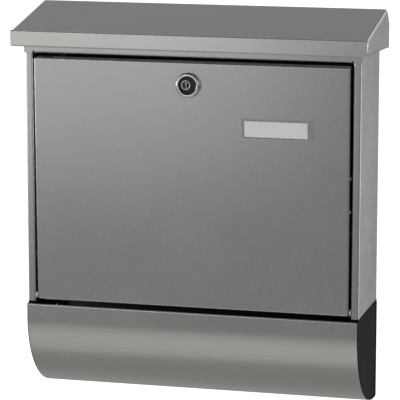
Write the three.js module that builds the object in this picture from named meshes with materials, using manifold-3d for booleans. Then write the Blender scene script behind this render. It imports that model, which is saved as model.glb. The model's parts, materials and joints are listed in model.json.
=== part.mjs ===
// A wall mounted stainless steel mailbox with a newspaper tray under it.
// Millimetres. +Z is up, the wall is the plane y = 0 and the front faces -Y.

import * as THREE from 'three';
import { mergeVertices } from 'three/addons/utils/BufferGeometryUtils.js';
import Module from 'manifold-3d';

const wasm = await Module();
wasm.setup();

// Driving dimensions -------------------------------------------------------------------

const width = 351;            // housing, side to side
const depth = 101.6;          // housing, wall to front frame
const sheet = 1;              // thickness of all stainless sheet
const bend = 1.5;             // bend radius at the middle of the sheet
const seam = 0.05;            // gap between pieces that are welded or pressed together
const fit = 0.3;              // gap round a piece that passes through or sits on another

const doorWidth = 330.4;
const doorHeight = 255;
const doorFoot = -140;        // height of the closed door's lower edge above the mount point
const doorProudAtFoot = 1;    // how far the door's face stands in front of the frame
const doorProudAtTop = 5.15;
const doorFlange = 11;        // depth of the flanges round the door
const doorPivot = { back: 5, up: 3.6, radius: 2 };

const frameStrip = 8;         // width of the frame beside the door
const frameLip = 10;          // depth of the lip that turns in beside the door
const floorLevel = -2.4;      // underside of the housing, from the door's foot
const railFoot = 258.6;       // lower edge of the rail above the door
const railTop = 281;

const lidWidth = 369.8;
const lidOverhang = 20.2;     // how far the lid stands in front of the frame
const lidLipFoot = 267.4;
const lidFold = 283.6;        // height of the lid's front edge
const lidRidge = { back: 90, up: 304 };
const lidRear = { back: 101.4, up: 290.7 };
const lidPivot = { back: 87.5, up: 290.5, radius: 2 };

const trayLength = 351.7;     // over the end pieces
const trayEndRim = 0.8;       // the rim of an end piece, which covers the edge of the sheet
const trayFront = -4.2;       // front face of the tray, behind the frame plane
const trayRim = -4.6;
const trayShoulder = -20;     // where the straight front starts to curve under
const trayFoot = -107.6;
const trayCentre = 96;        // centre of the curve, behind the frame plane

const lockCentre = { x: -1, up: 232 };
const plugOffset = -2.3;      // the plug sits beside the middle of the lock body
const nameCentre = { x: 90, up: 189.5 };
const stayRadius = 80;        // radius of the stay's slot about the door pivot
const stayPegAngle = 84;
const doorOpening = 80;       // degrees

const front = -depth;
const halfWidth = width / 2;
const lidSlope = (lidRidge.up - lidFold) / (lidRidge.back + lidOverhang);
const doorLean = Math.atan((doorProudAtTop - doorProudAtFoot) / doorHeight);

// Materials ----------------------------------------------------------------------------

const finish = (color, roughness, metalness) => () =>
  new THREE.MeshStandardMaterial({ color, roughness, metalness });

const brushedSteel = finish(0xb4b4b6, 0.38, 1);
const chrome = finish(0xd8dade, 0.12, 1);
const zincCasting = finish(0x8c8c90, 0.45, 1);
const blackPlastic = finish(0x1e1e22, 0.5, 0);
const rubber = finish(0x17171a, 0.85, 0);
const paper = finish(0xe6e6e4, 0.8, 0);
const clearPlastic = finish(0xf2f5f6, 0.08, 0);

// Helpers ------------------------------------------------------------------------------

// A point of a side view: distance behind the frame plane, height above the door's foot.
const sidePoint = (back, up) => new THREE.Vector2(front + back, doorFoot + up);
const polar = (radius, degrees) => {
  const angle = THREE.MathUtils.degToRad(degrees);
  return new THREE.Vector2(radius * Math.cos(angle), radius * Math.sin(angle));
};

function mesh(name, geometry, material) {
  const node = new THREE.Mesh(geometry, material());
  node.name = name;
  return node;
}

function toSolid(geometry) {
  const bare = geometry.clone();
  bare.deleteAttribute('normal');
  bare.deleteAttribute('uv');
  const merged = mergeVertices(bare, 1e-4);
  return new wasm.Manifold(new wasm.Mesh({
    numProp: 3,
    vertProperties: new Float32Array(merged.attributes.position.array),
    triVerts: new Uint32Array(merged.index.array),
  }));
}

function toGeometry(solid) {
  const { vertProperties, triVerts } = solid.getMesh();
  const geometry = new THREE.BufferGeometry();
  geometry.setAttribute('position', new THREE.BufferAttribute(vertProperties, 3));
  geometry.setIndex(new THREE.BufferAttribute(triVerts, 1));
  return geometry;
}

const join = (...geometries) => toGeometry(geometries.map(toSolid).reduce((a, b) => a.add(b)));
const cut = (geometry, ...tools) =>
  toGeometry(tools.map(toSolid).reduce((a, b) => a.subtract(b), toSolid(geometry)));
const overlap = (a, b) => toGeometry(toSolid(a).intersect(toSolid(b)));

const xAxis = new THREE.Vector3(1, 0, 0);
const yAxis = new THREE.Vector3(0, 1, 0);
const zAxis = new THREE.Vector3(0, 0, 1);

const extrude = (shape, length) =>
  new THREE.ExtrudeGeometry(shape, { depth: length, bevelEnabled: false, curveSegments: 16 });

// A side view (y, z) drawn out along X.
function alongX(shape, x0, x1) {
  const turn = new THREE.Matrix4().makeBasis(yAxis, zAxis, xAxis);
  return extrude(shape, Math.abs(x1 - x0)).applyMatrix4(turn).translate(Math.min(x0, x1), 0, 0);
}

// A front view (x, z) drawn out along Y.
const alongY = (shape, y0, y1) => extrude(shape, y1 - y0).rotateX(Math.PI / 2).translate(0, y1, 0);

// A plan view (x, y) drawn out along Z.
const alongZ = (shape, z0, z1) => extrude(shape, z1 - z0).translate(0, 0, z0);

function box(x0, x1, y0, y1, z0, z1) {
  const geometry = new THREE.BoxGeometry(Math.abs(x1 - x0), y1 - y0, z1 - z0);
  return geometry.translate((x0 + x1) / 2, (y0 + y1) / 2, (z0 + z1) / 2);
}

// A turned piece from [radius, position along its axis] pairs, first and last on the axis.
function turned(profile, sides = 32) {
  return new THREE.LatheGeometry(profile.map(([r, y]) => new THREE.Vector2(r, y)), sides);
}

const ring = (inner, outer, y0, y1, sides = 32) =>
  turned([[inner, y0], [outer, y0], [outer, y1], [inner, y1], [inner, y0]], sides);
const pin = (radius, y0, y1, sides = 24) =>
  turned([[0, y0], [radius, y0], [radius, y1], [0, y1]], sides);
const layAlongX = (geometry, x, y, z) => geometry.rotateZ(-Math.PI / 2).translate(x, y, z);

function disc(radius, x, y) {
  const shape = new THREE.Shape();
  shape.absarc(x, y, radius, 0, 2 * Math.PI, false);
  return shape;
}

// The cut edge of a bent sheet: its middle line is rounded at each sharp corner and given
// the sheet's thickness. Corners under 20 degrees are steps of a curve and stay as they are.
function sheetSection(path, radius = bend) {
  const heading = (i) => path[i + 1].clone().sub(path[i]).angle();
  const stations = [{ point: path[0], angle: heading(0) }];
  for (let i = 1; i < path.length - 1; i += 1) {
    const before = heading(i - 1);
    const full = 2 * Math.PI;
    const turn = ((heading(i) - before + 3 * Math.PI) % full + full) % full - Math.PI;
    if (Math.abs(turn) < Math.PI / 9) {
      stations.push({ point: path[i], angle: before + turn / 2 });
    } else {
      const reach = radius * Math.tan(Math.abs(turn) / 2);
      const back = new THREE.Vector2(reach, 0).rotateAround(origin2, before);
      const start = path[i].clone().sub(back);
      const inward = Math.sign(turn) * radius;
      const centre = start.clone().add(sideways(before, inward));
      const steps = 5;
      for (let k = 0; k <= steps; k += 1) {
        const angle = before + turn * k / steps;
        stations.push({ point: centre.clone().sub(sideways(angle, inward)), angle });
      }
    }
  }
  stations.push({ point: path.at(-1), angle: heading(path.length - 2) });
  const edge = (offset) =>
    stations.map(({ point, angle }) => point.clone().add(sideways(angle, offset)));
  return new THREE.Shape([...edge(sheet / 2), ...edge(-sheet / 2).reverse()]);
}

const origin2 = new THREE.Vector2();

function sideways(angle, distance) {
  return new THREE.Vector2(-Math.sin(angle) * distance, Math.cos(angle) * distance);
}

const sides = [{ side: 'left', s: -1 }, { side: 'right', s: 1 }];

// Housing ------------------------------------------------------------------------------

function backPanel() {
  const screwHoles = [[-135, 25], [135, 25], [-135, 215], [135, 215]];
  const holeRadius = 3.5;
  const narrow = halfWidth - 3;           // beside the tray the end pieces reach the wall
  const wide = halfWidth - 0.5;
  const foot = doorFoot + trayFoot + 5;
  const shoulder = doorFoot + floorLevel;
  const outline = new THREE.Shape([
    new THREE.Vector2(-narrow, foot), new THREE.Vector2(narrow, foot),
    new THREE.Vector2(narrow, shoulder), new THREE.Vector2(wide, shoulder),
    new THREE.Vector2(wide, doorFoot + 282), new THREE.Vector2(-wide, doorFoot + 282),
    new THREE.Vector2(-wide, shoulder), new THREE.Vector2(-narrow, shoulder),
  ]);
  outline.holes = screwHoles.map(([x, up]) => disc(holeRadius, x, doorFoot + up));
  return mesh('back_panel', alongY(outline, -sheet, 0), brushedSteel);
}

// The edge of a side panel, cut low at the back where the lid swings past it.
function sideTopCutter(x0, x1) {
  const clear = 20;
  const top = railTop + 0.5;
  const stepBack = 76;
  const stepUp = 272;
  return alongX(new THREE.Shape([
    sidePoint(-clear, top - clear * lidSlope),
    sidePoint(stepBack, top + stepBack * lidSlope),
    sidePoint(stepBack, stepUp),
    sidePoint(depth + clear, stepUp),
    sidePoint(depth + clear, top + 2 * clear),
    sidePoint(-clear, top + 2 * clear),
  ]), x0, x1);
}

function sidePanel({ side, s }) {
  const rearFlange = 15;
  const outer = s * (halfWidth - sheet / 2);
  const lip = s * (halfWidth - frameStrip + sheet / 2);
  const rear = -sheet - seam - sheet / 2;
  const section = sheetSection([
    new THREE.Vector2(s * (halfWidth - rearFlange), rear),
    new THREE.Vector2(outer, rear),
    new THREE.Vector2(outer, front + sheet / 2),
    new THREE.Vector2(lip, front + sheet / 2),
    new THREE.Vector2(lip, front + frameLip),
  ]);
  const wall = alongZ(section, doorFoot + floorLevel, doorFoot + lidRidge.up);
  const pivotHole = layAlongX(
    pin(doorPivot.radius + fit, -3, 3), lip, front + doorPivot.back, doorFoot + doorPivot.up);
  const lipRelief = box(lip - 2, lip + 2, front + sheet + bend, front + frameLip + 1,
    doorFoot + railFoot - 1.5, doorFoot + lidRidge.up);
  const top = sideTopCutter(s * (halfWidth - 30), s * (halfWidth + 10));
  return mesh(`side_panel_${side}`, cut(wall, top, pivotHole, lipRelief), brushedSteel);
}

const screwPlaces = [
  { place: 'left_front', x: -169.5, back: 28 }, { place: 'left_rear', x: -169.5, back: 82 },
  { place: 'right_front', x: 169.5, back: 28 }, { place: 'right_rear', x: 169.5, back: 82 },
];
const screwRadius = 1.9;

function bottomPanel() {
  const level = floorLevel + sheet / 2;
  const rear = depth - 2 * (sheet + seam) - bend;
  const section = sheetSection([
    sidePoint(frameLip + fit, level), sidePoint(rear, level), sidePoint(rear, level + 12),
  ]);
  const half = halfWidth - sheet - seam;
  const holes = screwPlaces.map(({ x, back }) =>
    alongZ(disc(screwRadius + fit, x, front + back), doorFoot + floorLevel - 1, doorFoot + 1));
  return mesh('bottom_panel', cut(alongX(section, -half, half), ...holes), brushedSteel);
}

// The rail above the door: a wide face plate on a channel that the lock's cam hooks behind.
function topRail() {
  const face = -seam - sheet / 2;
  const channelDepth = 8;
  const half = halfWidth - frameStrip - 1.3;
  const channel = alongX(sheetSection([
    sidePoint(12, railTop - sheet / 2),
    sidePoint(face, railTop - sheet / 2),
    sidePoint(face, railFoot + sheet / 2),
    sidePoint(channelDepth - sheet / 2, railFoot + sheet / 2),
    sidePoint(channelDepth - sheet / 2, railFoot + 7.5),
  ]), -half, half);
  const plateHalf = halfWidth + 1.5;
  const corner = 2.5;
  const foot = doorFoot + railFoot;
  const plate = new THREE.Shape();
  plate.moveTo(-plateHalf, doorFoot + railTop);
  plate.lineTo(-plateHalf, foot + corner);
  plate.absarc(-plateHalf + corner, foot + corner, corner, Math.PI, 1.5 * Math.PI, false);
  plate.lineTo(-half + 1, foot);
  plate.lineTo(-half + 1, foot + 2.2);
  plate.lineTo(half - 1, foot + 2.2);
  plate.lineTo(half - 1, foot);
  plate.lineTo(plateHalf - corner, foot);
  plate.absarc(plateHalf - corner, foot + corner, corner, -Math.PI / 2, 0, false);
  plate.lineTo(plateHalf, doorFoot + railTop);
  const facePlate = alongY(plate, front - seam - sheet, front - seam);
  return mesh('top_rail', join(channel, facePlate), brushedSteel);
}

// A sloping plate inside the top that keeps hands away from the letters.
function letterGuard() {
  const weld = depth - sheet - seam - sheet / 2;
  const section = sheetSection([
    sidePoint(weld, 271), sidePoint(weld, 258), sidePoint(55, 236), sidePoint(55, 228),
  ], 2);
  const half = halfWidth - 18;
  return mesh('letter_guard', alongX(section, -half, half), brushedSteel);
}

function hingeBracket({ side, s }) {
  const pivot = sidePoint(lidPivot.back, lidPivot.up);
  const ear = 6;
  const shape = new THREE.Shape();
  const corner = sidePoint(70, 252);
  const heel = sidePoint(89.8, 252);
  const stop = sidePoint(89.8, 279.5);
  shape.moveTo(corner.x, corner.y);
  shape.lineTo(heel.x, heel.y);
  shape.lineTo(stop.x, stop.y);
  shape.absarc(pivot.x, pivot.y, ear, -Math.PI / 9, Math.PI, false);
  shape.lineTo(corner.x, pivot.y - 14);
  shape.holes = [disc(lidPivot.radius + 0.2, pivot.x, pivot.y)];
  const outer = s * (halfWidth - sheet - seam);
  return mesh(`hinge_bracket_${side}`, alongX(shape, outer, outer - s * 2), brushedSteel);
}

const rodEnd = halfWidth - sheet - fit;

function lidHingeRod() {
  const { x: y, y: z } = sidePoint(lidPivot.back, lidPivot.up);
  const rod = layAlongX(pin(lidPivot.radius, -rodEnd, rodEnd), 0, y, z);
  return mesh('lid_hinge_rod', rod, brushedSteel);
}

function rodClip({ side, s }) {
  const { x: y, y: z } = sidePoint(lidPivot.back, lidPivot.up);
  const clip = ring(lidPivot.radius + 0.1, 4.5, -0.6, 0.6, 24);
  const x = s * (halfWidth - sheet - seam - 2 - 1);
  return mesh(`rod_clip_${side}`, layAlongX(clip, x, y, z), brushedSteel);
}

function lidBumper({ side, s }) {
  const height = 5;
  const profile = [[0, 0], [4, 0], [4, height - 1], [3, height], [0, height]];
  const bumper = turned(profile, 24).rotateX(Math.PI / 2);
  bumper.translate(s * 150, front + 5, doorFoot + railTop + seam);
  return mesh(`lid_bumper_${side}`, bumper, rubber);
}

// A shouldered rivet through the frame's lip. Its domed shoulder fills the gap at the door.
function doorPivotPin({ side, s }) {
  const r = doorPivot.radius;
  const shoulder = 5;
  const lipInner = halfWidth - frameStrip;
  const lipOuter = lipInner + sheet;
  const doorSide = doorWidth / 2;
  const tip = doorSide - sheet - 2;
  const half = [
    [0, tip], [r - 0.5, tip], [r, tip + 0.5], [r, doorSide + fit],
    [3.6, doorSide + fit], [4.5, doorSide + 0.6], [shoulder, doorSide + 1.2],
    [shoulder, lipInner - seam], [r, lipInner - seam], [r, lipOuter + seam],
    [3.2, lipOuter + seam], [3.2, lipOuter + 0.9], [2.2, lipOuter + 1.6], [0, lipOuter + 1.6],
  ];
  const pivot = layAlongX(turned(half, 32), 0, 0, 0);
  if (s < 0) {
    pivot.rotateZ(Math.PI);
  }
  pivot.translate(0, front + doorPivot.back, doorFoot + doorPivot.up);
  return mesh(`door_pivot_${side}`, pivot, brushedSteel);
}

const stayPlate = { inner: doorWidth / 2 - sheet - fit - 1.5, outer: doorWidth / 2 - sheet - fit };

function stayPeg() {
  const r = 2;
  const wall = halfWidth - sheet - seam;
  const headAt = stayPlate.inner - 1.2;
  const profile = [
    [0, headAt - 1.2], [3, headAt - 1.2], [4, headAt - 0.6], [4, headAt], [r, headAt],
    [r, wall - 1.5], [4, wall - 1.5], [4, wall], [0, wall],
  ];
  const reach = polar(stayRadius, stayPegAngle);
  const peg = layAlongX(turned(profile, 24), 0, front + doorPivot.back + reach.x,
    doorFoot + doorPivot.up + reach.y);
  return mesh('stay_peg', peg, brushedSteel);
}

// Newspaper tray -----------------------------------------------------------------------

// Points down the tray's curve, for a surface set in from its outer face.
function trayCurve(inset, steps = 16) {
  const a = trayCentre - trayFront - inset;
  const b = trayShoulder - trayFoot - inset;
  return Array.from({ length: steps + 1 }, (_, i) => {
    const angle = Math.PI / 2 * i / steps;
    return sidePoint(trayCentre - a * Math.cos(angle), trayShoulder - b * Math.sin(angle));
  });
}

function newspaperTray() {
  const middle = sheet / 2;
  const hemWidth = 2.2;
  const rear = depth - sheet - seam - sheet / 2;
  const section = sheetSection([
    sidePoint(trayFront + middle + hemWidth, trayRim - 5),
    sidePoint(trayFront + middle + hemWidth, trayRim - middle),
    sidePoint(trayFront + middle, trayRim - middle),
    ...trayCurve(middle),
    sidePoint(rear, trayFoot + middle),
    sidePoint(rear, trayFoot + 13),
  ], hemWidth / 2);
  const half = trayLength / 2 - trayEndRim - seam;
  return mesh('newspaper_tray', alongX(section, -half, half), brushedSteel);
}

// The inside outline of the tray, set in from its sheet by the given amount.
function trayOutline(inset, topInset, rearFace) {
  const top = floorLevel - seam - topInset;
  const behindHem = trayFront + sheet + 2.2 + fit + inset;
  const behindSheet = trayFront + sheet + fit + inset;
  const flangeTop = trayFoot + 13;
  const flangeFace = depth - 2 * (sheet + seam) - fit - inset;
  const rear = Math.max(rearFace, flangeFace);
  const points = [
    sidePoint(behindHem, top),
    sidePoint(behindHem, trayRim - 6 - inset),
    sidePoint(behindSheet, trayRim - 7.5 - inset),
    ...trayCurve(sheet + fit + inset),
    sidePoint(flangeFace, trayFoot + sheet + fit + inset),
  ];
  if (rear > flangeFace) {
    points.push(sidePoint(flangeFace, flangeTop + fit), sidePoint(rear, flangeTop + fit));
  }
  points.push(sidePoint(rear, top));
  return new THREE.Shape(points);
}

// The outline of an end piece's rim, as large as the tray's outer face.
function trayRimOutline(rear) {
  return new THREE.Shape([
    sidePoint(trayFront, trayRim), ...trayCurve(0),
    sidePoint(rear, trayFoot), sidePoint(rear, trayRim),
  ]);
}

const endDepth = 10;
const endWall = 3;
const capLug = 6;             // how far the solid top that takes the screws reaches down
const ringLug = 18;

const screwBore = ({ x, back }) =>
  alongZ(disc(screwRadius + fit, x, front + back), doorFoot + floorLevel - 8, doorFoot + 2);

// The moulded piece at each end that carries the tray: closed on the right, open on the left.
function trayEnd(name, s, closed) {
  const outer = s * trayLength / 2;
  const inner = outer - s * endDepth;
  const plateInner = outer - s * 2.6;
  const rearOutside = depth - 0.1;
  const rearInside = depth - sheet - fit - 0.1;
  const block = join(
    alongX(trayRimOutline(rearOutside), outer, outer - s * trayEndRim),
    alongX(trayOutline(0, 0, rearOutside), outer - s * 0.4, plateInner),
    alongX(trayOutline(0, 0, rearInside), plateInner, inner),
  );
  const hollowStart = closed ? outer - s * endWall : outer + s;
  const hollow = alongX(
    trayOutline(endWall, closed ? capLug : ringLug, 0), hollowStart, inner - s);
  const bores = screwPlaces.filter(({ x }) => Math.sign(x) === s).map(screwBore);
  return mesh(name, cut(block, hollow, ...bores), blackPlastic);
}

function trayScrew({ place, x, back }) {
  const headFoot = floorLevel + sheet + seam;
  const profile = [
    [0, -6], [screwRadius - 0.6, -6], [screwRadius, -5.4], [screwRadius, 0],
    [3.5, 0], [3.5, 1.2], [2.6, 2], [0, 2],
  ];
  const screw = turned(profile, 24).rotateX(Math.PI / 2);
  screw.translate(x, front + back, doorFoot + headFoot);
  return mesh(`tray_screw_${place}`, screw, brushedSteel);
}

// Lid ----------------------------------------------------------------------------------

const underFold = lidFold - sheet / Math.cos(Math.atan(lidSlope));
const underLid = (back) => underFold + (back + lidOverhang) * lidSlope;

function lidPanel() {
  const lip = -lidOverhang + sheet / 2;
  const hemWidth = 2.2;
  const chamfer = sidePoint(lidRear.back, lidRear.up).sub(sidePoint(lidRidge.back, lidRidge.up));
  const inward = sideways(chamfer.angle(), -sheet / 2);
  const rear = sidePoint(lidRear.back, lidRear.up).add(inward);
  const section = sheetSection([
    sidePoint(lip + hemWidth, lidLipFoot + 4),
    sidePoint(lip + hemWidth, lidLipFoot + sheet / 2),
    sidePoint(lip, lidLipFoot + sheet / 2),
    sidePoint(lip, lidFold - sheet / 2),
    sidePoint(lidRidge.back - 0.15, lidRidge.up - sheet / 2),
    rear,
  ], hemWidth / 2);
  const half = lidWidth / 2;
  const flange = new THREE.Shape([
    sidePoint(-lidOverhang + 2, lidLipFoot + 0.6),
    sidePoint(lidRear.back - 0.5, 263.2),
    sidePoint(lidRear.back - 0.5, lidRear.up - 0.1),
    sidePoint(lidRidge.back - 0.2, lidRidge.up - 0.7),
    sidePoint(-lidOverhang + 2, lidFold - 0.4),
  ]);
  const flanges = sides.map(({ s }) => alongX(flange, s * (half - sheet), s * half));
  return mesh('lid_panel', join(alongX(section, -half, half), ...flanges), brushedSteel);
}

// A tab welded under the lid that the hinge rod runs through.
function lidBracket({ side, s }) {
  const pivot = sidePoint(lidPivot.back, lidPivot.up);
  const foot = (back, drop) => sidePoint(back, underLid(back) - fit - drop);
  const tail = foot(60, 0);
  const heel = foot(84, 0);
  const ear = new THREE.Shape();
  ear.moveTo(tail.x, tail.y);
  ear.lineTo(heel.x, heel.y);
  ear.absarc(pivot.x, pivot.y, 5.5, Math.PI / 9, -0.75 * Math.PI, true);
  ear.holes = [disc(lidPivot.radius + 0.2, pivot.x, pivot.y)];
  const pad = new THREE.Shape([foot(60, 0), foot(84, 0), foot(84, 1.5), foot(60, 1.5)]);
  const x = s * 156;
  const tab = join(alongX(ear, x, x + s * 1.5), alongX(pad, x, x - s * 16));
  return mesh(`lid_bracket_${side}`, tab, brushedSteel);
}

// Door, drawn about its pivot and then leaned --------------------------------------------

const face = -(doorPivot.back + doorProudAtFoot + doorPivot.up * Math.tan(doorLean));
const behindFace = face + sheet;
const doorLow = -doorPivot.up;
const doorHigh = doorLow + doorHeight;
const lockUp = lockCentre.up - doorPivot.up;
const rivetPlaces = [{ place: 'lower', up: 104 }, { place: 'upper', up: 138 }];

function doorPanel() {
  const middle = face + sheet / 2;
  const rear = face + doorFlange;
  const side = doorWidth / 2 - sheet / 2;
  const corner = bend;
  const across = sheetSection([
    new THREE.Vector2(-side, rear), new THREE.Vector2(-side, middle),
    new THREE.Vector2(side, middle), new THREE.Vector2(side, rear),
  ]);
  const upright = sheetSection([
    new THREE.Vector2(rear, doorLow + sheet / 2), new THREE.Vector2(middle, doorLow + sheet / 2),
    new THREE.Vector2(middle, doorHigh - sheet / 2), new THREE.Vector2(rear, doorHigh - sheet / 2),
  ]);
  const pan = join(
    alongZ(across, doorLow + corner, doorHigh - corner),
    alongX(upright, -doorWidth / 2 + corner, doorWidth / 2 - corner),
  );
  const lockHole = pin(9 + fit, face - 2, behindFace + 2, 32).translate(lockCentre.x, 0, lockUp);
  const pivotHole = layAlongX(pin(doorPivot.radius + fit, -doorWidth, doorWidth), 0, 0, 0);
  const rivetHoles = rivetPlaces.map(({ up }) =>
    layAlongX(pin(1.5 + fit, 0, doorWidth), 0, 0, up));
  return mesh('door_panel', cut(pan, lockHole, pivotHole, ...rivetHoles), brushedSteel);
}

// The stay: a leg riveted inside the door's edge, and an arc with a slot that the peg runs in.
function doorStay() {
  const bandHalf = 6;
  const slotHalf = 2.6;
  const lean = THREE.MathUtils.radToDeg(doorLean);
  const slotTop = stayPegAngle - lean + 0.9;
  const slotFoot = stayPegAngle - lean - doorOpening - 0.9;
  const rad = THREE.MathUtils.degToRad;
  const band = new THREE.Shape();
  band.absarc(0, 0, stayRadius + bandHalf, rad(92), rad(slotFoot - 1.5), true);
  const end = polar(stayRadius, slotFoot - 1.5);
  band.absarc(end.x, end.y, bandHalf, rad(slotFoot - 1.5), rad(slotFoot - 181.5), true);
  band.absarc(0, 0, stayRadius - bandHalf, rad(slotFoot - 1.5), rad(92), false);
  const slot = new THREE.Shape();
  const top = polar(stayRadius, slotTop);
  const foot = polar(stayRadius, slotFoot);
  slot.absarc(0, 0, stayRadius + slotHalf, rad(slotTop), rad(slotFoot), true);
  slot.absarc(foot.x, foot.y, slotHalf, rad(slotFoot), rad(slotFoot - 180), true);
  slot.absarc(0, 0, stayRadius - slotHalf, rad(slotFoot), rad(slotTop), false);
  slot.absarc(top.x, top.y, slotHalf, rad(slotTop + 180), rad(slotTop), true);
  const legFront = behindFace + 1.5;
  const legTop = rivetPlaces[1].up + 8;
  const leg = new THREE.Shape([
    new THREE.Vector2(legFront, stayRadius - bandHalf + 2), new THREE.Vector2(12, stayRadius),
    new THREE.Vector2(11, stayRadius + 8), new THREE.Vector2(4, rivetPlaces[0].up + 8),
    new THREE.Vector2(4, legTop), new THREE.Vector2(legFront, legTop),
  ]);
  const { inner, outer } = stayPlate;
  const plate = join(alongX(band, inner, outer), alongX(leg, inner, outer));
  const tools = [alongX(slot, inner - 1, outer + 1), ...rivetPlaces.map(({ up }) =>
    layAlongX(pin(1.5 + fit, inner - 1, outer + 1), 0, 0, up))];
  return mesh('door_stay', cut(plate, ...tools), brushedSteel);
}

function stayRivet({ place, up }) {
  const doorSide = doorWidth / 2 + seam;
  const inside = stayPlate.inner - 0.2;
  const profile = [
    [0, inside - 1.2], [2, inside - 1.2], [3, inside - 0.5], [3, inside], [1.5, inside],
    [1.5, doorSide], [2.8, doorSide], [2.2, doorSide + 0.8], [0, doorSide + 0.8],
  ];
  return mesh(`stay_rivet_${place}`, layAlongX(turned(profile, 20), 0, 0, up), brushedSteel);
}

const lockFront = face - 2.6;
const lockRear = face + 14;
const plugX = lockCentre.x + plugOffset;

function lockBezel() {
  const inner = 9.2;
  const outer = 13;
  const foot = face - fit;
  const lip = face - 5.2;
  const profile = [
    [inner + 0.1, foot], [inner + 0.1, lip + 1], [inner + 0.9, lip + 0.2], [inner + 1.8, lip],
    [outer - 1.4, lip + 0.5], [outer - 0.5, lip + 1.6], [outer, lip + 3.2], [outer, foot],
    [inner + 0.1, foot],
  ];
  const bezel = turned(profile, 48).translate(lockCentre.x, 0, lockUp);
  return mesh('lock_bezel', bezel, chrome);
}

function lockBody() {
  const flatHalf = 8;
  const barrel = pin(9, lockFront, lockRear, 40);
  const flats = box(-flatHalf, flatHalf, behindFace + fit, lockRear + 1, -20, 20);
  const head = box(-20, 20, lockFront - 1, behindFace + fit, -20, 20);
  const body = overlap(barrel, join(flats, head)).translate(lockCentre.x, 0, lockUp);
  const bore = pin(5 + fit / 2, lockFront - 1, lockRear + 1, 32).translate(plugX, 0, lockUp);
  return mesh('lock_body', cut(body, bore), zincCasting);
}

function lockNut() {
  const hexagon = new THREE.Shape(Array.from({ length: 6 }, (_, i) => polar(14, 60 * i)));
  const flatWidth = 8 + fit;
  const hole = overlap(pin(9 + fit, -10, 10, 40), box(-flatWidth, flatWidth, -11, 11, -20, 20));
  const foot = behindFace + fit;
  const nut = cut(alongY(hexagon, foot, foot + 3), hole.translate(0, foot, 0));
  return mesh('lock_nut', nut.translate(lockCentre.x, 0, lockUp), zincCasting);
}

const camFront = lockRear + fit;
const camThickness = 2;

function lockPlug() {
  const tail = 3;
  const tip = camFront + camThickness;
  const profile = [
    [0, lockFront + 0.4], [4.4, lockFront + 0.4], [5, lockFront + 0.9], [5, lockRear],
    [tail, lockRear], [tail, tip], [0, tip],
  ];
  const keyway = box(-0.8, 0.8, lockFront - 1, lockFront + 9, -3.6, 2.2);
  const thread = pin(1.5 + fit / 2, tip - 8, tip + 1, 20);
  const plug = cut(turned(profile, 32), keyway, thread).translate(plugX, 0, lockUp);
  return mesh('lock_plug', plug, chrome);
}

// The cam points to the left when unlocked, and a quarter turn raises it behind the rail.
function lockCam() {
  const hub = 7;
  const reach = 32;
  const tipHalf = 5.5;
  const shape = new THREE.Shape();
  shape.absarc(0, 0, hub, -Math.PI / 2, Math.PI / 2, false);
  shape.lineTo(-reach + 3, tipHalf);
  shape.absarc(-reach + 3, tipHalf - 3, 3, Math.PI / 2, Math.PI, false);
  shape.absarc(-reach + 3, 3 - tipHalf, 3, Math.PI, 1.5 * Math.PI, false);
  shape.holes = [disc(3 + 0.15, 0, 0)];
  const cam = alongY(shape, camFront, camFront + camThickness).translate(plugX, 0, lockUp);
  return mesh('lock_cam', cam, brushedSteel);
}

function camScrew() {
  const seat = camFront + camThickness + seam;
  const profile = [
    [0, seat - 7], [1.1, seat - 7], [1.5, seat - 6.5], [1.5, seat],
    [4.6, seat], [4.6, seat + 1.4], [3.4, seat + 2.4], [0, seat + 2.4],
  ];
  return mesh('cam_screw', turned(profile, 24).translate(plugX, 0, lockUp), brushedSteel);
}

const nameSize = { width: 74, height: 20.2, cardWidth: 65, cardHeight: 16 };
const namePlate = (w, h, y0, y1) => box(nameCentre.x - w / 2, nameCentre.x + w / 2, y0, y1,
  nameCentre.up - doorPivot.up - h / 2, nameCentre.up - doorPivot.up + h / 2);

function nameplateBase() {
  const plate = namePlate(nameSize.width, nameSize.height, face - fit - 1, face - fit);
  return mesh('nameplate_base', plate, clearPlastic);
}

function nameCard() {
  const rear = face - 2 * fit - 1;
  const card = namePlate(nameSize.cardWidth, nameSize.cardHeight, rear - 0.4, rear);
  return mesh('name_card', card, paper);
}

function nameplateCover() {
  const rear = face - 2 * fit - 1;
  const cover = namePlate(nameSize.width, nameSize.height, rear - 1.9, rear);
  const pocket = namePlate(
    nameSize.cardWidth + 2 * fit, nameSize.cardHeight + 2 * fit, rear - 0.4 - fit, rear + 1);
  return mesh('nameplate_cover', cut(cover, pocket), clearPlastic);
}

// Assembly -----------------------------------------------------------------------------

const mailbox = new THREE.Group();
mailbox.add(
  backPanel(), ...sides.map(sidePanel), bottomPanel(), topRail(), letterGuard(),
  ...sides.map(hingeBracket), lidHingeRod(), ...sides.map(rodClip), ...sides.map(lidBumper),
  ...sides.map(doorPivotPin), stayPeg(),
  newspaperTray(), trayEnd('tray_end_cap', 1, true), trayEnd('tray_end_ring', -1, false),
  ...screwPlaces.map(trayScrew),
);

const lid = new THREE.Group();
lid.add(lidPanel(), ...sides.map(lidBracket));
mailbox.add(lid);

const door = new THREE.Group();
door.add(
  doorPanel(), doorStay(), ...rivetPlaces.map(stayRivet),
  lockBezel(), lockBody(), lockNut(), lockPlug(), lockCam(), camScrew(),
  nameplateBase(), nameCard(), nameplateCover(),
);
door.position.set(0, front + doorPivot.back, doorFoot + doorPivot.up);
door.rotation.x = doorLean;
mailbox.add(door);

export default mailbox;
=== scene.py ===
"""Looks of a wall mounted stainless steel mailbox with a newspaper tray under it.

The wall is the plane y = 0, the front faces -Y and +Z is up. Sizes are in millimetres,
and a mesh is turned into metres as it is finished.
"""

import json
import logging
import math
from collections.abc import Callable, Sequence
from dataclasses import dataclass, field
from enum import Enum

import bmesh
import bpy
from mathutils import Matrix, Vector


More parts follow.
